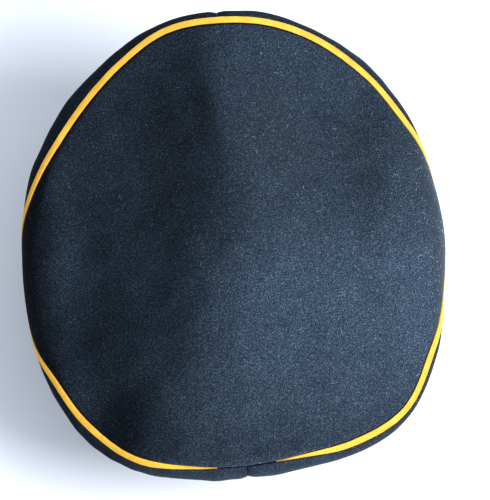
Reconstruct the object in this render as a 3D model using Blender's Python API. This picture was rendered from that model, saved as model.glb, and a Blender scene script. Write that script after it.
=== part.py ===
"""A kepi cap of dark wool cloth with a yellow welt round its top, lying as it rests on a table.

The cap's own frame has its origin in the middle of the band's bottom edge, +X to the wearer's right,
+Y to the front and +Z up. Bearings are in degrees round +Z: 0 is the right side and 90 the front.
The whole cap is then leant back, until the peak's edge and the back of the band both touch z = 0.
"""

import math
from collections import namedtuple

import bmesh
import bpy
from mathutils import Vector

# Head opening and band
HEAD_LENGTH = 0.200
HEAD_WIDTH = 0.160
BAND_HEIGHT = 0.045
BAND_WALL = 0.0025

# Crown, measured over its outline from above, and its top cloth's height over the band's bottom edge
CROWN_LENGTH = 0.268
CROWN_WIDTH = 0.250
CROWN_FORWARD = 0.009
FRONT_HEIGHT = 0.101
BACK_HEIGHT = 0.085
SIDE_HEIGHT = 0.077
FOLD_HEIGHT = 0.004
CLOTH = 0.002

# The rim: where the top cloth turns down, and how the side cloth leaves it and meets the band
RIM_REACH = 0.010
RIM_DROP = 0.008
RIM_UNDERSIDE = 0.014
SIDE_FLARE = 0.018
FLARE_ANGLE = 42.0
SIDE_LIFT = 0.0015
SIDE_TUCK = 0.007

# The welt, a folded strip of yellow cloth sewn into the top seam
WELT_WIDTH = 0.0038
WELT_PROUD = 0.0005
WELT_ROOT = 0.0016
WELT_TAPER = 0.040
WELT_END_GAP = 0.038
WELT_END_WIDTH = 0.0008
WELT_END_SINK = 0.0006

# The peak
PEAK_REACH = 0.045
PEAK_DROP = 0.033
PEAK_WALL = 0.0018
PEAK_FLANGE = 0.009
PEAK_FROM = 22.0
PEAK_TO = 180.0 - PEAK_FROM
PEAK_FULLNESS = 0.75
PEAK_SIDE_DROP = 0.85
PEAK_EDGE_DROP = 1.04
PEAK_CURVE = 0.4

# Clearances and rounded cloth edges
GAP = 0.0003
WELT_GAP = 0.0005
SIDE_SEAM_GAP = 0.0004
CLOTH_EDGE = 0.0006

# How finely the surfaces are divided. Rows are shares of the way up the side cloth, or in to the middle.
COLUMNS = 60
SKIN_STEPS = 14
EDGE_STEP = 0.0008
TOP_ROWS = (0.0, 0.02, 0.045, 0.07, 0.10, 0.14, 0.20, 0.28, 0.37, 0.47, 0.57, 0.68, 0.79, 0.90)
SIDE_ROWS = (0.0, 0.16, 0.35, 0.55, 0.72, 0.87, 1.0)
PEAK_COLUMNS = 26
PEAK_ROWS = 5

# The least space between two columns, as a share of their step, and the degrees over which the welt's way is read
LEAST_STEP = 0.2
LOOK_AHEAD = 0.5

# Angles in degrees: a shaded edge is sharp over the first, and a cut edge is rounded over the second
SHARP_FROM = 40.0
ROUNDED_FROM = 50.0

# Side seams: front, back, left and right
SEAM_BEARINGS = (0.0, 90.0, 180.0, 270.0)
BACK_BEARING = 270.0

# The rim, section by section, at equal steps of bearing. reach is the outline as a share of the crown's
# ellipse, roll is the size of the rim's turn as a share of RIM_REACH and RIM_DROP, and turn is where the
# seam sits on that turn, in degrees: 90 is on top, 0 at the outline, and less than 0 is under it.
RimRow = namedtuple("RimRow", "bearing reach roll turn")
RIM = (
    RimRow(0.0, 1.000, 1.0, -25.0),
    RimRow(15.0, 0.988, 1.1, -5.0),
    RimRow(30.0, 1.006, 1.1, 55.0),
    RimRow(45.0, 1.015, 1.3, 60.0),
    RimRow(60.0, 1.010, 0.9, 70.0),
    RimRow(75.0, 1.009, 0.9, 70.0),
    RimRow(90.0, 1.005, 1.0, 69.0),
    RimRow(105.0, 1.009, 1.0, 69.0),
    RimRow(120.0, 1.000, 1.4, 69.0),
    RimRow(135.0, 0.999, 1.6, 70.0),
    RimRow(150.0, 1.006, 1.5, 68.0),
    RimRow(165.0, 1.003, 1.2, 40.0),
    RimRow(180.0, 1.000, 1.0, -25.0),
    RimRow(195.0, 1.023, 1.0, -15.0),
    RimRow(210.0, 1.062, 1.1, 55.0),
    RimRow(225.0, 1.096, 1.1, 75.0),
    RimRow(240.0, 1.079, 1.1, 68.0),
    RimRow(255.0, 1.032, 1.3, 66.0),
    RimRow(270.0, 1.006, 1.3, 66.0),
    RimRow(285.0, 1.020, 1.3, 70.0),
    RimRow(300.0, 1.074, 1.1, 73.0),
    RimRow(315.0, 1.102, 0.8, 66.0),
    RimRow(330.0, 1.067, 0.8, 62.0),
    RimRow(345.0, 1.012, 0.8, 0.0),
)

# Folds of the top cloth. across and forward place a fold's middle, as shares of half the crown's width
# and length; along and wide are its half-length and half-width, as shares of half the crown's width;
# bearing is the way it runs, and height is a share of FOLD_HEIGHT.
Fold = namedtuple("Fold", "name across forward along wide bearing height")
FOLDS = (
    Fold("front ridge", 0.03, 0.48, 0.62, 0.30, 96.0, 1.4),
    Fold("front crease", -0.04, 0.62, 0.34, 0.08, 96.0, 0.2),
    Fold("swell at the right front", 0.90, 0.30, 0.50, 0.30, 84.0, 1.2),
    Fold("broad swell behind the middle", -0.18, -0.42, 0.60, 0.44, 46.0, 1.3),
    Fold("dent at the back left", -0.66, -0.74, 0.26, 0.14, 55.0, -0.5),
    Fold("ridge by the left edge", -0.84, 0.10, 0.55, 0.10, 88.0, 0.3),
)

# Half of the welt's section, from its top to its root: aside is a share of its half-width, proud of how far
# it stands proud, sunk of how far its run-out end is sunk, and root of how deep it sits in the seam.
WeltRow = namedtuple("WeltRow", "aside proud sunk root")
WELT_SECTION = (
    WeltRow(0.35, 1.0, 0.0, 0.0),
    WeltRow(0.80, 0.6, 0.0, 0.0),
    WeltRow(1.00, 0.0, 1.0, 0.2),
    WeltRow(0.60, 0.0, 1.0, 1.0),
)

Paint = namedtuple("Paint", "name colour roughness")
NAVY_WOOL = Paint("navy_wool", (0.020, 0.032, 0.055), 0.95)
YELLOW_CLOTH = Paint("yellow_cloth", (0.85, 0.50, 0.05), 0.85)
BLACK_PEAK = Paint("black_peak", (0.012, 0.012, 0.013), 0.35)


def ellipse_point(width, length, bearing, height=0.0):
    """The point of a level ellipse at this bearing, which is the ellipse's own parameter."""
    angle = math.radians(bearing)
    return Vector((width / 2 * math.cos(angle), length / 2 * math.sin(angle), height))


def around(column, bearing):
    """A column of the rim's table at any bearing, on a smooth closed curve through its rows."""
    place = (bearing % 360.0) / 360.0 * len(RIM)
    row = int(place)
    t = place - row
    before, here, after, last = (getattr(RIM[(row + k) % len(RIM)], column) for k in (-1, 0, 1, 2))
    slope = after - before
    bend = 2 * before - 5 * here + 4 * after - last
    twist = 3 * (here - after) + last - before
    return here + 0.5 * t * (slope + t * (bend + t * twist))


def fold_height(x, y):
    """How far the folds lift or sink the top cloth at a point of the crown's own plan."""
    total = 0.0
    for fold in FOLDS:
        run = math.radians(fold.bearing)
        dx = x - fold.across * CROWN_WIDTH / 2
        dy = y - fold.forward * CROWN_LENGTH / 2
        along = (dx * math.cos(run) + dy * math.sin(run)) / (fold.along * CROWN_WIDTH / 2)
        across = (dy * math.cos(run) - dx * math.sin(run)) / (fold.wide * CROWN_WIDTH / 2)
        total += fold.height * FOLD_HEIGHT * math.exp(-along * along - across * across)
    return total


def top_height(x, y):
    """The top cloth's height: a sheet stretched over a rim that rises at the front and back."""
    across = x / (CROWN_WIDTH / 2)
    forward = y / (CROWN_LENGTH / 2)
    middle = (FRONT_HEIGHT + BACK_HEIGHT) / 4 + SIDE_HEIGHT / 2
    slope = (FRONT_HEIGHT - BACK_HEIGHT) / 2
    saddle = middle - SIDE_HEIGHT
    return middle + slope * forward + saddle * (forward**2 - across**2) + fold_height(x, y)


def outline_radius(bearing):
    """From the crown's middle to its outline."""
    return ellipse_point(CROWN_WIDTH, CROWN_LENGTH, bearing).length * around("reach", bearing)


def crown_point(bearing, radius, sink=0.0):
    """The top cloth's point at this distance from the crown's middle, sunk below the stretched sheet."""
    out = ellipse_point(CROWN_WIDTH, CROWN_LENGTH, bearing).normalized() * radius
    return Vector((out.x, out.y + CROWN_FORWARD, top_height(out.x, out.y) - sink))


def rim_point(bearing, turn):
    """A point on the rim's turn, from the outline at 0 degrees to the top at 90."""
    roll = around("roll", bearing)
    angle = math.radians(turn)
    radius = outline_radius(bearing) - roll * RIM_REACH * (1 - math.cos(angle))
    return crown_point(bearing, radius, roll * RIM_DROP * (1 - math.sin(angle)))


def bezier(ends, t):
    """A point of the cubic curve through four control points."""
    a, b, c, d = ends
    s = 1 - t
    return s**3 * a + 3 * s * s * t * b + 3 * s * t * t * c + t**3 * d


def side_curve(bearing):
    """Control points of the side cloth, from the outline down to its bend inside the band."""
    top = rim_point(bearing, 0.0)
    inside = 2 * GAP
    foot = ellipse_point(HEAD_WIDTH - inside, HEAD_LENGTH - inside, bearing, BAND_HEIGHT + SIDE_LIFT)
    outward = ellipse_point(HEAD_LENGTH, HEAD_WIDTH, bearing).normalized()
    flare = math.radians(FLARE_ANGLE)
    leaving = outward * math.cos(flare) + Vector((0.0, 0.0, math.sin(flare)))
    return top, top - Vector((0.0, 0.0, RIM_UNDERSIDE)), foot + leaving * SIDE_FLARE, foot


class Skin:
    """The cap's outer surface at one bearing, from the side cloth's bend to the crown's middle.

    Places on it are lengths along the cloth from the outline: up and inward is more than 0."""

    def __init__(self, bearing):
        curve = side_curve(bearing)
        self.foot = curve[3]
        points = [bezier(curve, 1 - k / SKIN_STEPS) for k in range(SKIN_STEPS)]
        outline = len(points)
        points += [rim_point(bearing, 90.0 * k / SKIN_STEPS) for k in range(SKIN_STEPS)]
        shoulder = outline_radius(bearing) - around("roll", bearing) * RIM_REACH
        steps = 3 * SKIN_STEPS
        points += [crown_point(bearing, shoulder * (1 - k / steps)) for k in range(steps + 1)]
        lengths = [0.0]
        for a, b in zip(points, points[1:]):
            lengths.append(lengths[-1] + (b - a).length)
        self.points = points
        self.lengths = [length - lengths[outline] for length in lengths]
        turn = around("turn", bearing)
        rolled = (rim_point(bearing, max(turn, 0.0)) - points[outline]).length
        under = math.radians(max(-turn, 0.0)) * RIM_DROP * around("roll", bearing)
        self.seam = self.length_of_turn(bearing, turn) if rolled else -under

    def length_of_turn(self, bearing, turn):
        """The length along the rim's turn from the outline to this angle."""
        parts = [rim_point(bearing, turn * k / SKIN_STEPS) for k in range(SKIN_STEPS + 1)]
        return sum((b - a).length for a, b in zip(parts, parts[1:]))

    def at(self, length):
        """The point at this length along the cloth."""
        for k in range(1, len(self.lengths)):
            if self.lengths[k] >= length or k == len(self.lengths) - 1:
                start, end = self.lengths[k - 1], self.lengths[k]
                return self.points[k - 1].lerp(self.points[k], (length - start) / (end - start))


def degrees_at_back(length):
    """The bearing that a length along the rim takes up near the back seam."""
    return math.degrees(length / outline_radius(BACK_BEARING))


WELT_END = degrees_at_back(WELT_END_GAP / 2)
WELT_WHOLE = degrees_at_back(WELT_END_GAP / 2 + WELT_TAPER)


def from_back(bearing):
    """Degrees between this bearing and the back seam."""
    return abs((bearing - BACK_BEARING + 180.0) % 360.0 - 180.0)


def column_bearings():
    """The bearings at which every piece of the crown is cut into columns, counted up from the right side."""
    regular = [360.0 * k / COLUMNS for k in range(COLUMNS)]
    near = (WELT_END, WELT_WHOLE)
    extra = [BACK_BEARING + side * angle for side in (-1, 1) for angle in near]
    least = LEAST_STEP * 360.0 / COLUMNS
    kept = [bearing for bearing in regular if all(abs(bearing - other) > least for other in extra)
            or bearing in SEAM_BEARINGS]
    return sorted(kept + extra)


def welt_share(bearing):
    """How much of its whole width the welt has here: it runs out into the seam at the back."""
    return min(max((from_back(bearing) - WELT_END) / (WELT_WHOLE - WELT_END), 0.0), 1.0)


def welt_width(bearing):
    """The welt's width, which is nothing between its two ends."""
    if from_back(bearing) < WELT_END - 1e-6:
        return 0.0
    return WELT_END_WIDTH + (WELT_WIDTH - WELT_END_WIDTH) * welt_share(bearing)


def half_opening(bearing):
    """Half the opening between the two cloth edges at the seam."""
    width = welt_width(bearing)
    return width / 2 + WELT_GAP if width else WELT_GAP / 2


def top_rows(skin, opening):
    """Lengths of the top cloth's rows, from its edge at the seam to the crown's middle."""
    start, end = skin.seam + opening, skin.lengths[-1]
    rows = [start + (end - start) * share for share in TOP_ROWS]
    return [start, start + EDGE_STEP] + rows[1:]


def side_rows(skin, opening):
    """Lengths of the side cloth's rows, from its bend inside the band to its edge at the seam."""
    start, end = skin.lengths[0], skin.seam - opening
    return [start + (end - EDGE_STEP - start) * share for share in SIDE_ROWS] + [end]


def new_mesh_object(name, build, paint):
    """An object whose mesh the function build makes in a bmesh, in the cap's own frame."""
    shape = bmesh.new()
    build(shape)
    bmesh.ops.recalc_face_normals(shape, faces=shape.faces)
    mesh = bpy.data.meshes.new(name)
    shape.to_mesh(mesh)
    shape.free()
    mesh.shade_smooth()
    mesh.set_sharp_from_angle(angle=math.radians(SHARP_FROM))
    mesh.materials.append(material(paint))
    piece = bpy.data.objects.new(name, mesh)
    bpy.context.scene.collection.objects.link(piece)
    return piece


def material(paint):
    """The material of this paint, made once."""
    found = bpy.data.materials.get(paint.name)
    if found:
        return found
    made = bpy.data.materials.new(paint.name)
    made.use_nodes = True
    shader = made.node_tree.nodes["Principled BSDF"]
    shader.inputs["Base Color"].default_value = (*paint.colour, 1.0)
    shader.inputs["Roughness"].default_value = paint.roughness
    shader.inputs["Metallic"].default_value = 0.0
    return made


def add_grid(shape, rows, closed):
    """Quads between rows of points, all as long as each other. Returns the rows of vertices."""
    made = [[shape.verts.new(point) for point in row] for row in rows]
    count = len(rows[0])
    for low, high in zip(made, made[1:]):
        for k in range(count if closed else count - 1):
            n = (k + 1) % count
            shape.faces.new((low[k], low[n], high[n], high[k]))
    return made


def round_edges(piece):
    """Rounds a wall's cut edges."""
    rounded = piece.modifiers.new("rounded_edges", "BEVEL")
    rounded.width = CLOTH_EDGE
    rounded.segments = 1
    rounded.limit_method = "ANGLE"
    rounded.angle_limit = math.radians(ROUNDED_FROM)
    return piece


def thicken(piece, wall):
    """Gives a surface whose normals point out its wall, inward, and rounds its cut edges."""
    solid = piece.modifiers.new("wall", "SOLIDIFY")
    solid.thickness = wall
    solid.offset = -1.0
    solid.use_even_offset = True
    return round_edges(piece)


def crown_top():
    """The top cloth, from the seam round the rim to a point in the middle."""

    def build(shape):
        columns = []
        for bearing in column_bearings():
            skin = Skin(bearing)
            columns.append([skin.at(length) for length in top_rows(skin, half_opening(bearing))])
        rows = add_grid(shape, list(zip(*columns)), closed=True)
        middle = shape.verts.new(crown_point(0.0, 0.0))
        last = rows[-1]
        for k, corner in enumerate(last):
            shape.faces.new((corner, last[(k + 1) % len(last)], middle))

    return thicken(new_mesh_object("crown_top", build, NAVY_WOOL), CLOTH)


def quarter(name, start):
    """One of the four side cloths, from one side seam to the next and from the band up to the welt."""
    end = start + 360.0 / len(SEAM_BEARINGS)
    half_seam = math.degrees(SIDE_SEAM_GAP / HEAD_WIDTH)
    between = [bearing for bearing in column_bearings() if start < bearing < end]
    bearings = [start + half_seam, *between, end - half_seam]

    def build(shape):
        columns = []
        for bearing in bearings:
            skin = Skin(bearing)
            tuck = skin.foot - Vector((0.0, 0.0, SIDE_LIFT + SIDE_TUCK))
            side = [skin.at(length) for length in side_rows(skin, half_opening(bearing))]
            columns.append([tuck, *side])
        add_grid(shape, list(zip(*columns)), closed=False)

    return thicken(new_mesh_object(name, build, NAVY_WOOL), CLOTH)


def welt():
    """The yellow strip between the top cloth and the side cloths, its ends run out at the back seam."""
    covered = [bearing for bearing in column_bearings() if welt_width(bearing)]
    bearings = sorted((bearing - BACK_BEARING) % 360.0 + BACK_BEARING for bearing in covered)

    def section(bearing):
        skin = Skin(bearing)
        half = max(welt_width(bearing), WELT_END_WIDTH) / 2
        low, high = skin.at(skin.seam - half), skin.at(skin.seam + half)
        across = (high - low).normalized()
        before, after = Skin(bearing - LOOK_AHEAD), Skin(bearing + LOOK_AHEAD)
        ahead = (after.at(skin.seam) - before.at(skin.seam)).normalized()
        out = ahead.cross(across).normalized()
        middle = skin.at(skin.seam)
        proud = WELT_PROUD - (WELT_PROUD + WELT_END_SINK) * (1 - welt_share(bearing))
        sunk = min(proud, 0.0)
        right = [(row.aside * half, row.proud * proud + row.sunk * sunk - row.root * WELT_ROOT)
                 for row in WELT_SECTION]
        left = [(-aside, height) for aside, height in reversed(right)]
        return [middle + across * aside + out * height for aside, height in left + right]

    def build(shape):
        sections = [section(bearing) for bearing in bearings]
        made = add_grid(shape, sections, closed=True)
        shape.faces.new(made[0])
        shape.faces.new(reversed(made[-1]))

    return new_mesh_object("welt", build, YELLOW_CLOTH)


def band():
    """The upright band round the head."""
    profile = ((0.0, 0.0), (1.0, 0.0), (1.0, 1.0), (0.0, 1.0))
    bearings = [360.0 * k / COLUMNS for k in range(COLUMNS)]

    def build(shape):
        sections = []
        for bearing in bearings:
            inner = ellipse_point(HEAD_WIDTH, HEAD_LENGTH, bearing)
            outward = ellipse_point(HEAD_LENGTH, HEAD_WIDTH, bearing).normalized()
            sections.append(
                [inner + outward * BAND_WALL * out + Vector((0, 0, BAND_HEIGHT * up)) for out, up in profile]
            )
        sections.append(sections[0])
        add_grid(shape, sections, closed=True)
        bmesh.ops.remove_doubles(shape, verts=shape.verts, dist=1e-6)

    return round_edges(new_mesh_object("band", build, NAVY_WOOL))


def back_of_band():
    """How far the band reaches behind its middle."""
    return HEAD_LENGTH / 2 + BAND_WALL


def lean():
    """The angle that the cap leans back when the peak's edge and the band's back rest on a table."""
    return math.atan2(PEAK_DROP, HEAD_LENGTH / 2 + PEAK_REACH + back_of_band())


def table_height(y):
    """The table's height in the cap's own frame, once the cap leans back."""
    return -(y + back_of_band()) * math.tan(lean())


def peak_reach(bearing):
    """How far the peak stands out from the band: most at the front and nothing at its two ends."""
    share = (bearing - PEAK_FROM) / (PEAK_TO - PEAK_FROM)
    return PEAK_REACH * math.sin(math.pi * share) ** PEAK_FULLNESS


def peak_section(bearing):
    """The peak's upper surface from its flange inside the band to its outer edge."""
    inside = 2 * GAP
    root = ellipse_point(HEAD_WIDTH - inside, HEAD_LENGTH - inside, bearing)
    outward = ellipse_point(HEAD_LENGTH, HEAD_WIDTH, bearing).normalized()
    reach = max(peak_reach(bearing), BAND_WALL + GAP)
    edge = root + outward * reach
    drop = PEAK_DROP * PEAK_EDGE_DROP * (reach / PEAK_REACH) ** PEAK_SIDE_DROP
    low = max(-drop, table_height(edge.y))
    bend = root + outward * GAP + Vector((0.0, 0.0, -2 * GAP))
    points = [root + Vector((0.0, 0.0, PEAK_FLANGE)), root + Vector((0.0, 0.0, PEAK_FLANGE / 2)), root]
    for k in range(PEAK_ROWS + 1):
        t = k / PEAK_ROWS
        flat = bend.lerp(Vector((edge.x, edge.y, bend.z)), t)
        fall = (1 - PEAK_CURVE) * t + PEAK_CURVE * t * t
        points.append(flat + Vector((0.0, 0.0, (low - bend.z) * fall)))
    return points


def peak():
    """The stiff black peak, its flange inside the band's front."""
    bearings = [PEAK_FROM + (PEAK_TO - PEAK_FROM) * k / PEAK_COLUMNS for k in range(PEAK_COLUMNS + 1)]

    def build(shape):
        add_grid(shape, list(zip(*[peak_section(bearing) for bearing in bearings])), closed=False)

    piece = new_mesh_object("peak", build, BLACK_PEAK)
    return thicken(piece, PEAK_WALL)


def lowest_and_middle(pieces):
    """The bottom height and the plan's middle of these pieces, as they stand."""
    bpy.context.view_layer.update()
    graph = bpy.context.evaluated_depsgraph_get()
    points = []
    for piece in pieces:
        shown = piece.evaluated_get(graph)
        points += [shown.matrix_world @ vertex.co for vertex in shown.to_mesh().vertices]
    low = Vector(tuple(min(point[k] for point in points) for k in range(3)))
    high = Vector(tuple(max(point[k] for point in points) for k in range(3)))
    return Vector(((low.x + high.x) / 2, (low.y + high.y) / 2, low.z))


def main():
    for thing in list(bpy.data.objects):
        bpy.data.objects.remove(thing)
    cap = bpy.data.objects.new("cap", None)
    bpy.context.scene.collection.objects.link(cap)
    cap.rotation_euler.x = lean()
    names = ("quarter_front_right", "quarter_front_left", "quarter_back_left", "quarter_back_right")
    pieces = [crown_top(), welt(), band(), peak()]
    pieces += [quarter(name, start) for name, start in zip(names, SEAM_BEARINGS)]
    for piece in pieces:
        piece.parent = cap
    cap.location = -lowest_and_middle(pieces)


main()
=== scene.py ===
"""The looks of a kepi cap of dark wool with a yellow welt, lying as it rests on a pale surface.

Shapes are worked out in the cap's own frame: the origin in the middle of the band's bottom edge, +X to the
wearer's right, +Y to the front and +Z up. Bearings are in degrees round +Z, 0 at the right and 90 at the
front. PLACE carries that frame into the world, where the cap leans back on its peak.
"""

import math
from collections import namedtuple

import bpy
import numpy as np
from mathutils import Matrix, Vector


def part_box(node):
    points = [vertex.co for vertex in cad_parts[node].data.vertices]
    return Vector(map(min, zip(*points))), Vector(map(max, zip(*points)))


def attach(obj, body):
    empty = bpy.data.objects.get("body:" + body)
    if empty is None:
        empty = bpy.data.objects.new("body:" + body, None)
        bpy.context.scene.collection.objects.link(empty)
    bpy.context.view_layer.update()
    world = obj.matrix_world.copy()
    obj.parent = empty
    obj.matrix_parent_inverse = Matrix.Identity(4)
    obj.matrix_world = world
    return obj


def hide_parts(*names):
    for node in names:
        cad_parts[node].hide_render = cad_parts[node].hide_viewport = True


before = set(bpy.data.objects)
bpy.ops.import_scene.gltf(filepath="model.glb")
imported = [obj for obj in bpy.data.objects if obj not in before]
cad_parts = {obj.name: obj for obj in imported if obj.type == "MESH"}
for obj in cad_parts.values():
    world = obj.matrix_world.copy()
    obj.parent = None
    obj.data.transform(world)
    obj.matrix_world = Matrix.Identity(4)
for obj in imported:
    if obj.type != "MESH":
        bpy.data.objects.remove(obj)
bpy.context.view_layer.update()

BODY = "root"

# Head opening and band
HEAD_LENGTH = 0.200
HEAD_WIDTH = 0.160
BAND_HEIGHT = 0.045
BAND_WALL = 0.0025
BAND_TURN = 0.0010
BAND_BACK = HEAD_LENGTH / 2 + BAND_WALL

# Points of the band's section that are further out than this are on its outer face
OUTER_FACE = 0.9 * BAND_WALL

# Crown
CROWN_LENGTH = 0.268
CROWN_WIDTH = 0.250
CROWN_FORWARD = 0.009
FRONT_HEIGHT = 0.101
BACK_HEIGHT = 0.085
SIDE_HEIGHT = 0.077
FOLD_HEIGHT = 0.004
CLOTH = 0.002

# The rim, and how the side cloth leaves it and meets the band
RIM_REACH = 0.010
RIM_DROP = 0.008
RIM_UNDERSIDE = 0.014
SIDE_FLARE = 0.018
FLARE_ANGLE = 42.0
SIDE_LIFT = 0.0015
SIDE_TUCK = 0.007

# The welt
WELT_WIDTH = 0.0038
WELT_PROUD = 0.0003
WELT_ROOT = 0.0016
WELT_TAPER = 0.040
WELT_END_GAP = 0.038
WELT_END_SINK = 0.0008
WELT_END_SHARE = 0.08

# How uneven the welt is, in width and height as shares, in place, and over how many of its columns
WELT_UNEVEN_WIDTH = 0.035
WELT_UNEVEN_HEIGHT = 0.10
WELT_WANDER = 0.00006
WELT_UNEVEN_SPAN = 9

# The welt's section, as shares of its half width, and of its height over the cloth or of its root below
WELT_SECTION = (
    (-0.55, -1.0), (-0.92, -0.75), (-1.0, -0.35), (-0.97, 0.05), (-0.86, 0.45), (-0.62, 0.78), (-0.3, 0.95),
    (0.0, 1.0),
    (0.3, 0.95), (0.62, 0.78), (0.86, 0.45), (0.97, 0.05), (1.0, -0.35), (0.92, -0.75), (0.55, -1.0),
)

# The degrees over which the welt's way is read
LOOK_AHEAD = 0.4

# The peak
PEAK_REACH = 0.045
PEAK_DROP = 0.033
PEAK_WALL = 0.0018
PEAK_FLANGE = 0.009
PEAK_FROM = 22.0
PEAK_TO = 180.0 - PEAK_FROM
PEAK_FULLNESS = 0.75
PEAK_SIDE_DROP = 0.85
PEAK_EDGE_DROP = 1.04
PEAK_CURVE = 0.4

# How the peak's cut edge is rounded: how wide, in how many steps, and where it turns by how many degrees
PEAK_EDGE_WIDTH = 0.0007
PEAK_EDGE_STEPS = 4
PEAK_EDGE_ANGLE = 50.0

# Clearances
GAP = 0.0003
SEAM_GAP = 0.00022
SIDE_SEAM_GAP = 0.00012

# How the cloth's sewn edges roll down into a seam, and how a seam pulls the cloth in beside it. A side seam's
# roll is a share of the welt's, and at the side cloth's foot it is a share of that again.
EDGE_ROLL = 0.0009
SIDE_ROLL_SHARE = 0.45
HIDDEN_ROLL_SHARE = 0.25
SEAM_PULL = 0.0009
SEAM_PULL_WIDE = 0.0030

MM = 0.001
SEED = 7
BACK_BEARING = 270.0
QUARTERS = ("quarter_front_right", "quarter_front_left", "quarter_back_left", "quarter_back_right")
QUARTER_TURN = 90.0

# How finely the surfaces are divided. The top cloth's last row is a share of the way in to the middle.
COLUMNS = 400
ALL_ROUND = np.arange(COLUMNS) * 360.0 / COLUMNS
TOP_ROWS = 84
TOP_LAST_ROW = 0.985
SIDE_ROWS = 44
TUCK_ROWS = 4
QUARTER_COLUMNS = 112
WELT_COLUMNS = 900
BAND_ROWS = 12
BAND_TURN_STEPS = 5
PEAK_COLUMNS = 120
PEAK_ROWS = 26
FLANGE_ROWS = 4

# Closer rows and columns beside a sewn edge, as distances from it
TOP_EDGE_ROWS = np.array([0.0, 0.2, 0.45, 0.75, 1.1, 1.6, 2.2, 3.0, 3.9, 5.0]) * MM
SIDE_EDGE_ROWS = np.array([0.0, 0.25, 0.5, 0.8, 1.2, 1.7, 2.3, 3.1, 4.1]) * MM
SEAM_COLUMNS = np.array([0.0, 0.3, 0.6, 1.0, 1.5, 2.1, 2.9, 3.9, 5.2, 6.8]) * MM

# The cloth's soft unevenness: its waves, how many of each kind cross, how their lengths are spread, and how
# far it takes to grow to its whole height from the welt and from the side cloth's foot
Wave = namedtuple("Wave", "length height")
TOP_WAVES = (Wave(0.060, 0.20 * MM), Wave(0.024, 0.06 * MM))
SIDE_WAVES = (Wave(0.045, 0.55 * MM), Wave(0.018, 0.16 * MM))
BAND_WAVES = (Wave(0.050, 0.10 * MM), Wave(0.014, 0.05 * MM))
CROSSED_WAVES = 6
WAVE_SPREAD = (0.7, 1.4)
TOP_CALM = 12 * MM
SIDE_CALM = 8 * MM
FOOT_CALM = 6 * MM

# The rim, at equal steps of bearing. reach is the outline as a share of the crown's ellipse, roll is the size
# of the rim's turn as a share of RIM_REACH and RIM_DROP, and turn is where the seam sits on that turn, in
# degrees: 90 is on top, 0 at the outline, and less than 0 is under it.
RimRow = namedtuple("RimRow", "bearing reach roll turn")
RIM = (
    RimRow(0.0, 1.000, 1.0, -25.0),
    RimRow(15.0, 0.988, 1.1, -5.0),
    RimRow(30.0, 1.006, 1.1, 55.0),
    RimRow(45.0, 1.015, 1.3, 60.0),
    RimRow(60.0, 1.010, 0.9, 70.0),
    RimRow(75.0, 1.009, 0.9, 70.0),
    RimRow(90.0, 1.005, 1.0, 69.0),
    RimRow(105.0, 1.009, 1.0, 69.0),
    RimRow(120.0, 1.000, 1.4, 69.0),
    RimRow(135.0, 0.999, 1.6, 70.0),
    RimRow(150.0, 1.006, 1.5, 68.0),
    RimRow(165.0, 1.003, 1.2, 40.0),
    RimRow(180.0, 1.000, 1.0, -25.0),
    RimRow(195.0, 1.023, 1.0, -15.0),
    RimRow(210.0, 1.062, 1.1, 55.0),
    RimRow(225.0, 1.096, 1.1, 75.0),
    RimRow(240.0, 1.079, 1.1, 68.0),
    RimRow(255.0, 1.032, 1.3, 66.0),
    RimRow(270.0, 1.006, 1.3, 66.0),
    RimRow(285.0, 1.020, 1.3, 70.0),
    RimRow(300.0, 1.074, 1.1, 73.0),
    RimRow(315.0, 1.102, 0.8, 66.0),
    RimRow(330.0, 1.067, 0.8, 62.0),
    RimRow(345.0, 1.012, 0.8, 0.0),
)

# Folds of the top cloth. across and forward place a fold's middle, as shares of half the crown's width and
# length; along and wide are its half-length and half-width, as shares of half the crown's width; bearing is
# the way that it runs, in degrees; height is a share of FOLD_HEIGHT.
Fold = namedtuple("Fold", "name across forward along wide bearing height")
FOLDS = (
    Fold("front ridge", 0.03, 0.48, 0.62, 0.30, 96.0, 1.4),
    Fold("front crease", -0.04, 0.62, 0.34, 0.08, 96.0, 0.2),
    Fold("swell at the right front", 0.90, 0.30, 0.50, 0.30, 84.0, 1.2),
    Fold("broad swell behind the middle", -0.18, -0.42, 0.60, 0.44, 46.0, 1.3),
    Fold("dent at the back left", -0.66, -0.74, 0.26, 0.14, 55.0, -0.5),
    Fold("ridge by the left edge", -0.84, 0.10, 0.55, 0.10, 88.0, 0.3),
)


def ellipse(width, length, bearing, height=0.0):
    """Points of a level ellipse at these bearings, which are the ellipse's own parameter."""
    angle = np.radians(np.asarray(bearing, float))
    return np.stack([width / 2 * np.cos(angle), length / 2 * np.sin(angle), height + 0 * angle], axis=-1)


def unit(vectors):
    """The same directions, each one long."""
    return vectors / np.linalg.norm(vectors, axis=-1, keepdims=True)


def inside_band(bearing, height=0.0):
    """Points just inside the band."""
    inside = 2 * GAP
    return ellipse(HEAD_WIDTH - inside, HEAD_LENGTH - inside, bearing, height)


def out_of_band(bearing):
    """The level way out through the band."""
    return unit(ellipse(HEAD_LENGTH, HEAD_WIDTH, bearing))


def around(column, bearing):
    """A column of the rim's table at any bearing, on a smooth closed curve through its rows."""
    values = np.array([getattr(row, column) for row in RIM])
    place = np.mod(bearing, 360.0) / 360.0 * len(values)
    row = np.floor(place).astype(int)
    t = place - row
    before, here, after, last = (values[(row + k) % len(values)] for k in (-1, 0, 1, 2))
    slope = after - before
    bend = 2 * before - 5 * here + 4 * after - last
    twist = 3 * (here - after) + last - before
    return here + 0.5 * t * (slope + t * (bend + t * twist))


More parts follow.
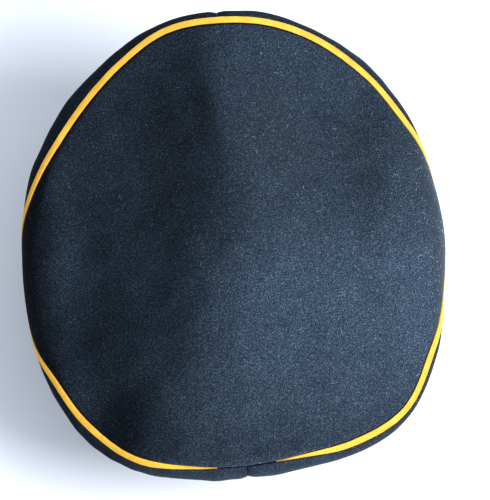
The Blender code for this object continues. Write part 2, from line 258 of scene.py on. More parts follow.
def fold_height(x, y):
    """How far the folds lift or sink the top cloth."""
    total = 0.0
    for fold in FOLDS:
        run = math.radians(fold.bearing)
        dx = x - fold.across * CROWN_WIDTH / 2
        dy = y - fold.forward * CROWN_LENGTH / 2
        along = (dx * math.cos(run) + dy * math.sin(run)) / (fold.along * CROWN_WIDTH / 2)
        across = (dy * math.cos(run) - dx * math.sin(run)) / (fold.wide * CROWN_WIDTH / 2)
        total = total + fold.height * FOLD_HEIGHT * np.exp(-along * along - across * across)
    return total


def top_height(x, y):
    """The top cloth's height: a sheet stretched over a rim that rises at the front and back."""
    across = x / (CROWN_WIDTH / 2)
    forward = y / (CROWN_LENGTH / 2)
    middle = (FRONT_HEIGHT + BACK_HEIGHT) / 4 + SIDE_HEIGHT / 2
    slope = (FRONT_HEIGHT - BACK_HEIGHT) / 2
    saddle = middle - SIDE_HEIGHT
    return middle + slope * forward + saddle * (forward**2 - across**2) + fold_height(x, y)


def outline_radius(bearing):
    """From the crown's middle to its outline."""
    return np.linalg.norm(ellipse(CROWN_WIDTH, CROWN_LENGTH, bearing), axis=-1) * around("reach", bearing)


def crown_points(bearing, radius, sink=0.0):
    """The top cloth's points at these distances from the crown's middle, sunk below the stretched sheet."""
    out = unit(ellipse(CROWN_WIDTH, CROWN_LENGTH, bearing)) * np.asarray(radius)[..., None]
    x, y = out[..., 0], out[..., 1]
    return np.stack([x, y + CROWN_FORWARD, top_height(x, y) - sink], axis=-1)


def rim_points(bearing, turn):
    """Points of the rim's turn, from the outline at 0 degrees to the top at 90."""
    roll = around("roll", bearing)
    angle = np.radians(np.asarray(turn, float))
    radius = outline_radius(bearing) - roll * RIM_REACH * (1 - np.cos(angle))
    return crown_points(bearing + 0 * angle, radius, roll * RIM_DROP * (1 - np.sin(angle)))


class Skin:
    """The cap's outer surface at one bearing, from the side cloth's bend to the crown's middle.

    Places on it are lengths along the cloth from the outline: up and inward is more than 0. foot is the side
    cloth's bend. SIDE, TURN and TOP are the numbers of points on the side, the rim's turn and the top."""

    SIDE, TURN, TOP = 60, 40, 160

    def __init__(self, bearing):
        self.foot = inside_band(bearing, BAND_HEIGHT + SIDE_LIFT)
        side = self.side(bearing)
        turn = rim_points(bearing, np.linspace(0.0, 90.0, self.TURN, endpoint=False))
        shoulder = outline_radius(bearing) - around("roll", bearing) * RIM_REACH
        inward = shoulder * np.linspace(1.0, 0.0, self.TOP)
        top = crown_points(np.full(self.TOP, float(bearing)), inward)
        self.points = np.vstack([side[:-1], turn, top])
        steps = np.linalg.norm(np.diff(self.points, axis=0), axis=1)
        lengths = np.concatenate([[0.0], np.cumsum(steps)])
        self.lengths = lengths - lengths[len(side) - 1]
        angle = float(around("turn", bearing))
        if angle > 0:
            arc = rim_points(bearing, np.linspace(0.0, angle, self.TURN))
            self.seam = float(np.linalg.norm(np.diff(arc, axis=0), axis=1).sum())
        else:
            self.seam = math.radians(angle) * RIM_DROP * float(around("roll", bearing))

    def side(self, bearing):
        """The side cloth from its bend up to the outline."""
        top = rim_points(bearing, 0.0)
        flare = math.radians(FLARE_ANGLE)
        up = np.array([0.0, 0.0, 1.0])
        leaving = out_of_band(bearing) * math.cos(flare) + up * math.sin(flare)
        ends = (self.foot, self.foot + leaving * SIDE_FLARE, top - up * RIM_UNDERSIDE, top)
        t = np.linspace(0.0, 1.0, self.SIDE)[:, None]
        s = 1 - t
        return s**3 * ends[0] + 3 * s * s * t * ends[1] + 3 * s * t * t * ends[2] + t**3 * ends[3]

    def at(self, lengths):
        """The points at these lengths along the cloth."""
        return np.stack([np.interp(lengths, self.lengths, self.points[:, k]) for k in range(3)], axis=-1)


def degrees_at_back(length):
    """The bearing that a length along the rim takes up near the back seam."""
    return math.degrees(length / float(outline_radius(BACK_BEARING)))


WELT_END = degrees_at_back(WELT_END_GAP / 2)
WELT_WHOLE = degrees_at_back(WELT_END_GAP / 2 + WELT_TAPER)


def welt_share(bearing):
    """How much of its whole width the welt has here: it runs out into the seam at the back."""
    away = abs((bearing - BACK_BEARING + 180.0) % 360.0 - 180.0)
    return min(max((away - WELT_END) / (WELT_WHOLE - WELT_END), 0.0), 1.0)


def half_opening(bearing):
    """Half the opening between the two cloth edges at the seam."""
    return WELT_WIDTH / 2 * welt_share(bearing) + SEAM_GAP


def lean():
    """The angle that the cap leans back when the peak's edge and the band's back rest on a table."""
    return math.atan2(PEAK_DROP, HEAD_LENGTH + PEAK_REACH + BAND_WALL)


def placement():
    """The cap's own frame in the world, from the leant band's middle, which is its box's middle."""
    turn = Matrix.Rotation(lean(), 4, "X")
    low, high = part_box("band")
    middle = turn @ Vector((0.0, 0.0, BAND_HEIGHT / 2))
    return Matrix.Translation((low + high) / 2 - middle) @ turn


PLACE = placement()


def in_world(points):
    """Points of the cap's own frame, in the world."""
    matrix = np.array(PLACE)
    return points @ matrix[:3, :3].T + matrix[:3, 3]


def grid_normals(grid, closed):
    """The outward normals of a grid of points whose columns count up with the bearing and rows go up."""
    if closed:
        along = np.roll(grid, -1, axis=1) - np.roll(grid, 1, axis=1)
    else:
        along = np.gradient(grid, axis=1)
    return unit(np.cross(along, np.gradient(grid, axis=0)))


def edge_roll(distance):
    """How far a sewn cloth edge stands off its smooth surface, at these distances from the edge."""
    near = EDGE_ROLL - np.clip(distance, 0.0, EDGE_ROLL)
    return np.sqrt(EDGE_ROLL**2 - near**2) - EDGE_ROLL


def unevenness(points, waves, seed):
    """A soft uneven height at these points: for each kind of wave, a few that cross."""
    rng = np.random.default_rng(seed)
    total = np.zeros(points.shape[:-1])
    for wave in waves:
        for _ in range(CROSSED_WAVES):
            way = unit(rng.normal(size=3))
            phase = rng.uniform(0, 2 * math.pi)
            length = wave.length * rng.uniform(*WAVE_SPREAD)
            tall = wave.height / CROSSED_WAVES**0.5
            total += tall * np.sin(points @ way * (2 * math.pi / length) + phase)
    return total


def new_piece(name, points, faces, *nodes):
    """A smooth object of the cap from points of its own frame, riding on its body."""
    mesh = bpy.data.meshes.new(name)
    mesh.from_pydata(in_world(points).tolist(), [], faces)
    mesh.update()
    mesh.shade_smooth()
    piece = bpy.data.objects.new(name, mesh)
    bpy.context.scene.collection.objects.link(piece)
    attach(piece, BODY)
    if nodes:
        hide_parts(*nodes)
    return piece


def quads(index, closed):
    """The faces of a grid of indices. The last column of a closed one meets the first."""
    here = index if closed else index[:, :-1]
    after = np.roll(index, -1, axis=1) if closed else index[:, 1:]
    faces = np.stack([here[:-1], after[:-1], after[1:], here[1:]], axis=-1)
    return faces.reshape(-1, 4).tolist()


def tube(index, closed):
    """The faces of a grid of indices whose last row meets the first."""
    return quads(np.vstack([index, index[:1]]), closed)


def strip(one, two):
    """The faces between two lines of indices."""
    return [(one[k], one[k + 1], two[k + 1], two[k]) for k in range(len(one) - 1)]


def shell(name, grid, wall, closed, *nodes):
    """A cloth of this wall below an outer grid. A closed one ends in a point, after its last row."""
    rows, columns = grid.shape[:2]
    normals = grid_normals(grid, closed)
    inner = grid - wall * normals
    count = rows * columns
    points = np.vstack([grid.reshape(-1, 3), inner.reshape(-1, 3)])
    index = np.arange(count).reshape(rows, columns)
    faces = quads(index, closed)
    faces += [tuple(reversed(face)) for face in quads(index + count, closed)]
    if closed:
        first = index[0].tolist() + [int(index[0][0])]
        faces += strip([k + count for k in first], first)
        middle = grid[-1].mean(axis=0)
        points = np.vstack([points, middle, middle - wall * unit(normals[-1].mean(axis=0))])
        last = index[-1].tolist() + [int(index[-1][0])]
        faces += [(last[k], last[k + 1], 2 * count) for k in range(columns)]
        faces += [(last[k + 1] + count, last[k] + count, 2 * count + 1) for k in range(columns)]
    else:
        loop = index[0].tolist() + index[1:, -1].tolist()
        loop += index[-1, ::-1][1:].tolist() + index[::-1, 0][1:].tolist()
        faces += strip([k + count for k in loop], loop)
    return new_piece(name, points, faces, *nodes)


def crown_top():
    """The top cloth, its edge rolled into the seam, with its folds and soft unevenness."""
    columns, distances = [], []
    for bearing in ALL_ROUND:
        skin = Skin(bearing)
        start = skin.seam + half_opening(bearing)
        whole = skin.lengths[-1] - start
        far = np.linspace(TOP_EDGE_ROWS[-1] / whole, TOP_LAST_ROW, TOP_ROWS)[1:] * whole
        along = np.concatenate([TOP_EDGE_ROWS, far])
        columns.append(skin.at(start + along))
        distances.append(along)
    grid = np.stack(columns, axis=1)
    distance = np.stack(distances, axis=1)
    uneven = unevenness(grid, TOP_WAVES, SEED) * np.clip(distance / TOP_CALM, 0.0, 1.0)
    height = edge_roll(distance) + uneven
    grid = grid + grid_normals(grid, True) * height[..., None]
    return shell("crown_top_cloth", grid, CLOTH, True, "crown_top"), grid


def quarter(name, start):
    """One side cloth, from one side seam to the next and from inside the band up to the welt."""
    radius = float(outline_radius(start))
    first = math.degrees(SIDE_SEAM_GAP / 2 / radius)
    near = first + np.degrees(SEAM_COLUMNS / radius)
    far = np.linspace(near[-1], QUARTER_TURN - near[-1], QUARTER_COLUMNS)[1:-1]
    offsets = np.concatenate([near, far, QUARTER_TURN - near[::-1]])
    from_seam = np.minimum(offsets, QUARTER_TURN - offsets) - first
    columns, distances = [], []
    for offset in offsets:
        skin = Skin(start + offset)
        whole = skin.seam - half_opening(start + offset) - skin.lengths[0]
        wide_rows = np.linspace(0.0, whole - SIDE_EDGE_ROWS[-1], SIDE_ROWS)[:-1]
        along = np.concatenate([wide_rows, whole - SIDE_EDGE_ROWS[::-1]])
        tuck = skin.foot - np.array([0.0, 0.0, SIDE_LIFT + SIDE_TUCK])
        low = np.linspace(tuck, skin.foot, TUCK_ROWS + 1)[:-1]
        columns.append(np.vstack([low, skin.at(skin.lengths[0] + along)]))
        distances.append(np.concatenate([np.full(TUCK_ROWS, whole), whole - along]))
    grid = np.stack(columns, axis=1)
    distance = np.stack(distances, axis=1)
    side = np.radians(from_seam)[None, :] * radius + 0 * distance
    shown = np.clip((distance.max(axis=0)[None, :] - distance) / FOOT_CALM, 0.0, 1.0)
    free = np.clip(distance / SIDE_CALM, 0.0, 1.0)
    uneven = unevenness(grid, SIDE_WAVES, SEED + int(start)) * shown * free
    side_roll = SIDE_ROLL_SHARE * edge_roll(side / SIDE_ROLL_SHARE)
    roll = edge_roll(distance) + side_roll * (HIDDEN_ROLL_SHARE + (1 - HIDDEN_ROLL_SHARE) * shown)
    pull = -SEAM_PULL * np.exp(-((side / SEAM_PULL_WIDE) ** 2)) * shown
    grid = grid + grid_normals(grid, False) * (roll + pull + uneven)[..., None]
    return shell(name + "_cloth", grid, CLOTH, False, name), grid


def welt():
    """The yellow strip, softly crowned and a little uneven, run out into the seam at the back."""
    step = 360.0 / WELT_COLUMNS
    bearings = np.arange(BACK_BEARING + WELT_END, BACK_BEARING + 360.0 - WELT_END, step)
    count = len(bearings)
    rng = np.random.default_rng(SEED + 1)
    kernel = np.hanning(WELT_UNEVEN_SPAN)
    kernel /= kernel.sum()
    wobble = np.convolve(rng.normal(size=count), kernel, "same")
    swell = np.convolve(rng.normal(size=count), kernel, "same")
    shape = np.array(WELT_SECTION)
    sections = []
    for k, bearing in enumerate(bearings):
        skin = Skin(bearing)
        after = Skin(bearing + LOOK_AHEAD)
        seam = skin.at(skin.seam)
        share = welt_share(bearing)
        half = WELT_WIDTH / 2 * max(share, WELT_END_SHARE) * (1 + WELT_UNEVEN_WIDTH * wobble[k])
        across = unit(skin.at(skin.seam + half) - skin.at(skin.seam - half))
        ahead = unit(after.at(after.seam) - seam)
        out = unit(np.cross(ahead, across))
        middle = seam + across * WELT_WANDER * swell[k]
        proud = WELT_PROUD * (1 + WELT_UNEVEN_HEIGHT * swell[k]) * share - WELT_END_SINK * (1 - share)
        height = np.where(shape[:, 1] > 0, shape[:, 1] * proud, shape[:, 1] * WELT_ROOT + min(proud, 0.0))
        sections.append(middle + across * (half * shape[:, :1]) + out * height[:, None])
    grid = np.stack(sections, axis=1)
    index = np.arange(len(shape) * count).reshape(len(shape), count)
    faces = tube(index, False)
    faces.append(index[:, 0].tolist())
    faces.append(index[::-1, -1].tolist())
    return new_piece("welt_strip", grid.reshape(-1, 3), faces, "welt")


def band():
    """The upright band, its cloth turned over at both edges."""
    out = BAND_WALL - BAND_TURN
    top = BAND_HEIGHT - BAND_TURN
    low = BAND_TURN
    corners = ((out, low, -90.0), (out, top, 0.0), (low, top, 90.0), (low, low, 180.0))
    profile = []
    for aside, up, first in corners:
        for k in range(BAND_TURN_STEPS + 1):
            angle = math.radians(first + 90.0 * k / BAND_TURN_STEPS)
            profile.append((aside + BAND_TURN * math.cos(angle), up + BAND_TURN * math.sin(angle)))
        if first < 0:
            profile += [(BAND_WALL, BAND_HEIGHT * k / BAND_ROWS) for k in range(1, BAND_ROWS)]
    profile = np.array(profile)
    outward = out_of_band(ALL_ROUND)
    grid = ellipse(HEAD_WIDTH, HEAD_LENGTH, ALL_ROUND)[None] + outward[None] * profile[:, :1, None]
    grid[..., 2] = profile[:, 1:]
    uneven = unevenness(grid, BAND_WAVES, SEED + 2) * (profile[:, :1] > OUTER_FACE)
    grid = grid + outward[None] * uneven[..., None]
    rows, columns = grid.shape[:2]
    faces = tube(np.arange(rows * columns).reshape(rows, columns), True)
    return new_piece("band_cloth", grid.reshape(-1, 3), faces, "band")


def peak():
    """The stiff black peak with its flange inside the band's front."""
    columns = []
    for bearing in np.linspace(PEAK_FROM, PEAK_TO, PEAK_COLUMNS + 1):
        share = (bearing - PEAK_FROM) / (PEAK_TO - PEAK_FROM)
        root = inside_band(bearing)
        outward = out_of_band(bearing)
        reach = max(PEAK_REACH * math.sin(math.pi * share) ** PEAK_FULLNESS, BAND_WALL + GAP)
        edge = root + outward * reach
        drop = PEAK_DROP * PEAK_EDGE_DROP * (reach / PEAK_REACH) ** PEAK_SIDE_DROP
        table = -(edge[1] + BAND_BACK) * math.tan(lean())
        low = max(-drop, table)
        bend = root + outward * GAP - np.array([0.0, 0.0, 2 * GAP])
        rise = [PEAK_FLANGE * (1 - k / FLANGE_ROWS) for k in range(FLANGE_ROWS + 1)]
        flange = [root + np.array([0.0, 0.0, up]) for up in rise]
        slope = []
        for t in np.linspace(0.0, 1.0, PEAK_ROWS):
            point = bend + (np.array([edge[0], edge[1], bend[2]]) - bend) * t
            fall = (1 - PEAK_CURVE) * t + PEAK_CURVE * t * t
            slope.append(point + np.array([0.0, 0.0, (low - bend[2]) * fall]))
        columns.append(flange + slope)
    grid = np.array(columns).transpose(1, 0, 2)[::-1]
    rows, count = grid.shape[:2]
    faces = quads(np.arange(rows * count).reshape(rows, count), False)
    piece = new_piece("peak_board", grid.reshape(-1, 3), faces, "peak")
    solid = piece.modifiers.new("wall", "SOLIDIFY")
    solid.thickness = PEAK_WALL
    solid.offset = -1.0
    solid.use_even_offset = True
    rounded = piece.modifiers.new("rounded_edges", "BEVEL")
    rounded.width = PEAK_EDGE_WIDTH
    rounded.segments = PEAK_EDGE_STEPS
    rounded.limit_method = "ANGLE"
    rounded.angle_limit = math.radians(PEAK_EDGE_ANGLE)
    return piece


def set_sockets(node, **values):
    """Puts these values on a node's sockets. An underscore stands for a space in a socket's name."""
    for name, value in values.items():
        node.inputs[name.replace("_", " ")].default_value = value


def add_node(tree, kind, **values):
    """A shader node with these values on its sockets."""
    made = tree.nodes.new(kind)
    set_sockets(made, **values)
    return made


def noise(tree, place, size, detail, roughness):
    """A noise whose features are about this size, in metres."""
    made = add_node(tree, "ShaderNodeTexNoise", Scale=1.0 / size, Detail=detail, Roughness=roughness)
    tree.links.new(place, made.inputs["Vector"])
    return made.outputs["Fac"]


def ramp(tree, value, *stops):
    """A colour ramp with these (place, colour) stops."""
    made = tree.nodes.new("ShaderNodeValToRGB")
    elements = made.color_ramp.elements
    while len(elements) < len(stops):
        elements.new(0.5)
    for element, (position, colour) in zip(elements, stops):
        element.position = position
        element.color = (*colour, 1.0)
    tree.links.new(value, made.inputs["Fac"])
    return made.outputs["Color"]


def shades(tree, value, stops):
    """A ramp of greys with these (place, shade) stops."""
    return ramp(tree, value, *((position, (shade, shade, shade)) for position, shade in stops))


def split(tree, vector):
    """The X, Y and Z of a vector."""
    made = tree.nodes.new("ShaderNodeSeparateXYZ")
    tree.links.new(vector, made.inputs["Vector"])
    return made.outputs


def mix(tree, blend, factor, one, two):
    """Two colours mixed; each may be a socket or a value."""
    made = tree.nodes.new("ShaderNodeMix")
    made.data_type = "RGBA"
    made.blend_type = blend
    for socket, value in ((made.inputs[0], factor), (made.inputs[6], one), (made.inputs[7], two)):
        if isinstance(value, bpy.types.NodeSocket):
            tree.links.new(value, socket)
        elif isinstance(value, tuple):
            socket.default_value = (*value, 1.0)
        else:
            socket.default_value = value
    return made.outputs[2]


def multiply(tree, one, two):
    """Two colours multiplied."""
    return mix(tree, "MULTIPLY", 1.0, one, two)


def bump(tree, height, strength, distance, below=None):
    """A bump of this height map over another."""
    made = add_node(tree, "ShaderNodeBump", Strength=strength, Distance=distance)
    tree.links.new(height, made.inputs["Height"])
    if below is not None:
        tree.links.new(below, made.inputs["Normal"])
    return made.outputs["Normal"]


def new_material(name):
    """A material, its node tree, its shader and the place in the object."""
    made = bpy.data.materials.new(name)
    made.use_nodes = True
    tree = made.node_tree
    place = tree.nodes.new("ShaderNodeTexCoord").outputs["Object"]
    return made, tree, tree.nodes["Principled BSDF"], place


# Painted shade by how far the wool faces up, on the top cloth and on the sides, and by how far it faces right
TOP_FACING_SHADE = ((0.25, 0.38), (0.75, 0.42), (0.90, 0.56), (0.955, 0.84), (0.985, 1.0))
SIDE_FACING_SHADE = ((0.0, 0.80), (1.0, 0.90))
RIGHT_FACING_SHADE = ((0.07, 1.0), (0.24, 0.62), (0.60, 0.34))

# Painted light and shade on the wool from the back of the cap to the front: paler behind the middle and darker
# before it
STRIPES_BACK = -0.143
STRIPES_FRONT = 0.125
LIGHT_AND_SHADE_STRIPES = ((0.08, 0.92), (0.30, 1.20), (0.45, 1.22), (0.59, 0.87), (0.73, 0.83), (0.86, 1.02))


def wool(name, facing_shade):
    """Milled navy wool: felted grain, faint clouds of colour, light flecks, a soft bloom and a fuzzy bump.

    Painted shade keeps the rim's turn and the sides darker than what faces up, and darkens what faces right;
    painted light and shade make a paler and a darker stripe across the cap."""
    made, tree, shader, place = new_material(name)
    grain = noise(tree, place, 0.85 * MM, 4.0, 0.80)
    fine = noise(tree, place, 0.40 * MM, 2.0, 0.6)
    cloud = noise(tree, place, 16 * MM, 3.0, 0.55)
    body = ramp(tree, grain, (0.39, (0.005, 0.008, 0.012)), (0.52, (0.013, 0.020, 0.028)),
                (0.65, (0.046, 0.062, 0.080)))
    tint = ramp(tree, cloud, (0.30, (0.84, 0.85, 0.88)), (0.70, (1.13, 1.12, 1.09)))
    facing = split(tree, place.node.outputs["Normal"])
    # Painted shade by which way the wool faces, and painted light and shade in stripes from back to front
    forward = add_node(tree, "ShaderNodeMapRange", From_Min=STRIPES_BACK, From_Max=STRIPES_FRONT)
    tree.links.new(split(tree, place)["Y"], forward.inputs["Value"])
    colour = multiply(tree, body, tint)
    colour = multiply(tree, colour, shades(tree, facing["Z"], facing_shade))
    colour = multiply(tree, colour, shades(tree, facing["X"], RIGHT_FACING_SHADE))
    colour = multiply(tree, colour, shades(tree, forward.outputs["Result"], LIGHT_AND_SHADE_STRIPES))
    fleck = shades(tree, fine, ((0.62, 0.0), (0.80, 1.0)))
    colour = mix(tree, "ADD", 1.0, colour, multiply(tree, fleck, (0.022, 0.032, 0.046)))
    tree.links.new(colour, shader.inputs["Base Color"])
    set_sockets(shader, Roughness=0.95, Specular_IOR_Level=0.15, Sheen_Weight=0.06, Sheen_Roughness=0.55,
                Sheen_Tint=(0.62, 0.78, 1.0, 1.0))
    felt = bump(tree, grain, 0.55, 0.35 * MM)
    tree.links.new(bump(tree, fine, 0.35, 0.12 * MM, felt), shader.inputs["Normal"])
    return made


def yellow_cloth():
    """Fine yellow facing cloth, with painted shade that leaves it a little deeper in colour where it faces
    right.
    """
    made, tree, shader, place = new_material("yellow_facing_cloth")
    grain = noise(tree, place, 0.6 * MM, 3.0, 0.6)
    cloud = noise(tree, place, 9 * MM, 2.0, 0.5)
    body = ramp(tree, grain, (0.25, (0.65, 0.375, 0.060)), (0.75, (0.82, 0.575, 0.122)))
    tint = ramp(tree, cloud, (0.30, (0.90, 0.88, 0.84)), (0.70, (1.05, 1.06, 1.10)))
    facing = split(tree, place.node.outputs["Normal"])
    # Painted shade: the yellow is a little darker and deeper where it faces right
    right_shade = ramp(tree, facing["X"], (0.05, (1.0, 1.0, 1.0)), (0.45, (0.90, 0.80, 0.92)))
    colour = multiply(tree, multiply(tree, body, tint), right_shade)
    tree.links.new(colour, shader.inputs["Base Color"])
    set_sockets(shader, Roughness=0.85, Specular_IOR_Level=0.2, Sheen_Weight=0.15,
                Sheen_Tint=(1.0, 0.85, 0.45, 1.0))
    tree.links.new(bump(tree, grain, 0.35, 0.12 * MM), shader.inputs["Normal"])
    return made


def black_peak():
    """Polished black board with a faint grain."""
    made, tree, shader, place = new_material("polished_black")
    grain = noise(tree, place, 0.7 * MM, 3.0, 0.6)
    wear = noise(tree, place, 22 * MM, 3.0, 0.6)
    body = ramp(tree, wear, (0.30, (0.008, 0.008, 0.009)), (0.75, (0.018, 0.017, 0.017)))
    tree.links.new(body, shader.inputs["Base Color"])
    gloss = add_node(tree, "ShaderNodeMapRange", To_Min=0.20, To_Max=0.38)
    tree.links.new(wear, gloss.inputs["Value"])
    tree.links.new(gloss.outputs["Result"], shader.inputs["Roughness"])
    set_sockets(shader, Coat_Weight=0.4, Coat_Roughness=0.12)
    tree.links.new(bump(tree, grain, 0.12, 0.05 * MM), shader.inputs["Normal"])
    return made


def hair_material(name, dark, light):
    """Loose wool fibre, some darker and some lighter."""
    made, tree, shader, place = new_material(name)
    kind = noise(tree, place, 0.8 * MM, 2.0, 0.6)
    tree.links.new(ramp(tree, kind, (0.50, dark), (0.66, light)), shader.inputs["Base Color"])
    set_sockets(shader, Roughness=0.8, Specular_IOR_Level=0.1)
    return made


# Kinds of loose fibre. lift is how far a fibre rises off the cloth and curl how far it bends aside, as shares
# of its length.
HairKind = namedtuple("HairKind", "name count shortest longest width lift curl")
TOP_FUZZ = HairKind("nap_fibres", 16000, 0.6 * MM, 1.6 * MM, 0.085 * MM, 0.30, 0.25)
SIDE_FUZZ = HairKind("side_nap_fibres", 12000, 0.6 * MM, 1.6 * MM, 0.085 * MM, 0.30, 0.25)
TOP_STRAY = HairKind("stray_fibres", 620, 1.0 * MM, 3.4 * MM, 0.08 * MM, 0.06, 0.45)

# How the fibres are made: their steps, the spread of their widths and lifts and the width of the tip as
# shares, how many millimetres over the cloth they start, and how many of its lengths along a lifted fibre
# would come down again
HAIR_STEPS = 3
HAIR_WIDTHS = (0.7, 1.2)
HAIR_LIFTS = (0.2, 1.0)
HAIR_TIP = 0.35
HAIR_START = 0.03
HAIR_ARCH = 1.3
NOT_ZERO = 1e-9

# The row of the side cloth from which it has fibres, a little over the band
FUZZ_FROM_ROW = 6


def hairs(kind, grids, seed):
    """Loose fibres as narrow ribbons, spread evenly over outer grids of the cloth."""
    rng = np.random.default_rng(seed)
    corners, normals, alongs, areas = [], [], [], []
    for grid, closed in grids:
        turn = grid_normals(grid, closed)
        a, b, d = grid[:-1, :-1], grid[:-1, 1:], grid[1:, :-1]
        corners.append(np.stack([a, b, grid[1:, 1:], d], axis=-2).reshape(-1, 4, 3))
        normals.append(turn[:-1, :-1].reshape(-1, 3))
        alongs.append((b - a).reshape(-1, 3))
        areas.append(np.linalg.norm(np.cross(b - a, d - a), axis=-1).reshape(-1))
    corners, normals = np.vstack(corners), np.vstack(normals)
    alongs, areas = np.vstack(alongs), np.concatenate(areas)
    pick = rng.choice(len(areas), size=kind.count, p=areas / areas.sum())
    u, v = rng.random((2, kind.count, 1))
    quad = corners[pick]
    start = ((1 - u) * (1 - v) * quad[:, 0] + u * (1 - v) * quad[:, 1] + u * v * quad[:, 2]
             + (1 - u) * v * quad[:, 3])
    normal = normals[pick]
    one = unit(alongs[pick] + NOT_ZERO)
    two = np.cross(normal, one)
    each = (kind.count, 1)
    angle = rng.uniform(0, 2 * math.pi, each)
    way = one * np.cos(angle) + two * np.sin(angle)
    side = np.cross(normal, way)
    length = rng.uniform(kind.shortest, kind.longest, each)
    curl = rng.normal(0.0, kind.curl, each)
    lift = rng.uniform(*HAIR_LIFTS, each) * kind.lift
    width = kind.width * rng.uniform(*HAIR_WIDTHS, each)
    points = []
    for k in range(HAIR_STEPS + 1):
        s = k / HAIR_STEPS
        raised = normal * length * lift * s * (HAIR_ARCH - s)
        middle = start + way * length * s + side * curl * length * s * s + raised
        middle = middle + normal * HAIR_START * MM
        taper = 1.0 if k < HAIR_STEPS else HAIR_TIP
        points += [middle - side * width * taper / 2, middle + side * width * taper / 2]
    points = np.stack(points, axis=1).reshape(-1, 3)
    base = np.arange(kind.count)[:, None] * 2 * (HAIR_STEPS + 1)
    steps = [2 * k + np.array([0, 1, 3, 2]) for k in range(HAIR_STEPS)]
    faces = np.concatenate([base + step for step in steps])
    return new_piece(kind.name, points, faces.tolist())


# Three soft lights at the cap's right and back, which all face LIT_POINT: a low one for the top cloth and its
# fibres alone, a high one for everything else, and one between them for the side cloths, the band and the peak
Lamp = namedtuple("Lamp", "name place width height power colour")
LOW_LAMP = Lamp("window", (0.86, -0.57, 0.163), 0.53, 0.16, 168.0, (0.885, 0.965, 1.05))
HIGH_LAMP = Lamp("high_window", (0.77, -0.18, 0.80), 0.50, 0.50, 16.0, (0.96, 0.98, 1.0))
SIDE_LAMP = Lamp("side_window", (0.64, -0.34, 0.40), 0.50, 0.30, 34.0, (0.885, 0.965, 1.05))
LIT_POINT = (0.0, 0.0, 0.09)

# The floor's half width, the surround, and the gamma that gives the picture its deep darks
FLOOR = 3.0
SURROUND_COLOUR = (0.86, 0.91, 1.0, 1.0)
SURROUND_STRENGTH = 1.05
GAMMA = 0.72


def add_lamp(lamp):
    """A soft rectangular light."""
    light = bpy.data.lights.new(lamp.name, "AREA")
    light.shape = "RECTANGLE"
    light.size = lamp.width
    light.size_y = lamp.height
    light.energy = lamp.power
    light.color = lamp.colour
    thing = bpy.data.objects.new(lamp.name, light)
    thing.location = lamp.place
    thing.rotation_euler = (Vector(LIT_POINT) - Vector(lamp.place)).to_track_quat("-Z", "Y").to_euler()
    bpy.context.scene.collection.objects.link(thing)
    return thing


def add_floor():
    """A wide pale floor with faint clouds."""
    corners = [(-FLOOR, -FLOOR, 0), (FLOOR, -FLOOR, 0), (FLOOR, FLOOR, 0), (-FLOOR, FLOOR, 0)]
    mesh = bpy.data.meshes.new("floor")
    mesh.from_pydata(corners, [], [(0, 1, 2, 3)])
    floor = bpy.data.objects.new("floor", mesh)
    bpy.context.scene.collection.objects.link(floor)
    made, tree, shader, place = new_material("pale_floor")
    cloud = noise(tree, place, 0.12, 2.0, 0.5)
    shade = ramp(tree, cloud, (0.3, (0.78, 0.79, 0.82)), (0.7, (0.82, 0.82, 0.84)))
    tree.links.new(shade, shader.inputs["Base Color"])
    set_sockets(shader, Roughness=0.9)
    mesh.materials.append(made)
    return floor


def add_surround():
    """A pale surround, and how the picture's tones are shown."""
    world = bpy.data.worlds.new("surround")
    world.use_nodes = True
    set_sockets(world.node_tree.nodes["Background"], Color=SURROUND_COLOUR, Strength=SURROUND_STRENGTH)
    bpy.context.scene.world = world
    bpy.context.scene.view_settings.view_transform = "Standard"
    bpy.context.scene.view_settings.gamma = GAMMA


def light_only(lamp, pieces):
    """Lets a light reach only these pieces. It still casts the shadows of the others."""
    reached = bpy.data.collections.new(lamp.name + "_reaches")
    for piece in pieces:
        reached.objects.link(piece)
    lamp.light_linking.receiver_collection = reached


# The camera stands square to the crown's mean plane, rolled as the photograph shows the cap
CAMERA_AWAY = 0.70
PIXELS_PER_METRE = 1740.0
CAMERA_ROLL = 3.83
IMAGE_SIZE = (490, 500)
CAP_MIDDLE_PIXEL = (232.5, 244.8)
SENSOR = 36.0


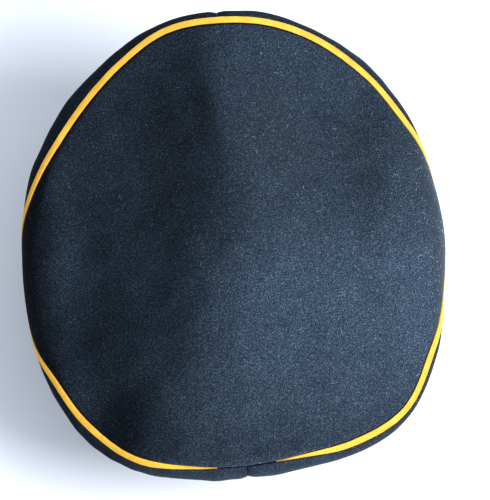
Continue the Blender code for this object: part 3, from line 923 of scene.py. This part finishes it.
def add_camera():
    """The photograph's camera."""
    slope = math.atan2(FRONT_HEIGHT - BACK_HEIGHT, CROWN_LENGTH)
    turn = PLACE.to_3x3()
    forward = turn @ Vector((0.0, math.cos(slope), math.sin(slope)))
    facing = turn @ Vector((0.0, -math.sin(slope), math.cos(slope)))
    right = turn @ Vector((1.0, 0.0, 0.0))
    roll = math.radians(CAMERA_ROLL)
    up = forward * math.cos(roll) + right * math.sin(roll)
    across = right * math.cos(roll) - forward * math.sin(roll)
    middle = PLACE @ Vector((0.0, CROWN_FORWARD, float(top_height(0.0, 0.0))))
    aside = (IMAGE_SIZE[0] / 2 - CAP_MIDDLE_PIXEL[0]) / PIXELS_PER_METRE
    above = (CAP_MIDDLE_PIXEL[1] - IMAGE_SIZE[1] / 2) / PIXELS_PER_METRE
    data = bpy.data.cameras.new("camera")
    data.sensor_width = SENSOR
    data.lens = PIXELS_PER_METRE * CAMERA_AWAY / max(IMAGE_SIZE) * SENSOR
    camera = bpy.data.objects.new("camera", data)
    bpy.context.scene.collection.objects.link(camera)
    axes = Matrix((across, up, facing)).transposed().to_4x4()
    place = middle + facing * CAMERA_AWAY + across * aside + up * above
    camera.matrix_world = Matrix.Translation(place) @ axes
    bpy.context.scene.camera = camera


def dress(piece, made):
    """Gives a piece its material."""
    piece.data.materials.clear()
    piece.data.materials.append(made)
    return piece


def main():
    """Sets up the camera and the lights, and makes and dresses the pieces."""
    add_camera()
    floor = add_floor()
    add_surround()
    low, high, side = (add_lamp(lamp) for lamp in (LOW_LAMP, HIGH_LAMP, SIDE_LAMP))
    cloth = wool("side_wool", SIDE_FACING_SHADE)
    top, top_grid = crown_top()
    upper = [dress(top, wool("top_wool", TOP_FACING_SHADE))]
    lower = []
    side_grids = []
    for k, name in enumerate(QUARTERS):
        piece, grid = quarter(name, QUARTER_TURN * k)
        lower.append(dress(piece, cloth))
        side_grids.append((grid[FUZZ_FROM_ROW:], False))
    lower.append(dress(band(), cloth))
    lower.append(dress(peak(), black_peak()))
    strip_piece = dress(welt(), yellow_cloth())
    fuzz = hair_material("nap_fibre", (0.010, 0.016, 0.024), (0.200, 0.240, 0.275))
    stray = hair_material("stray_fibre", (0.10, 0.13, 0.16), (0.34, 0.38, 0.41))
    upper.append(dress(hairs(TOP_FUZZ, [(top_grid, True)], SEED + 3), fuzz))
    upper.append(dress(hairs(TOP_STRAY, [(top_grid, True)], SEED + 4), stray))
    lower.append(dress(hairs(SIDE_FUZZ, side_grids, SEED + 5), fuzz))
    light_only(low, upper)
    light_only(side, lower)
    light_only(high, [floor, strip_piece, *lower])


main()
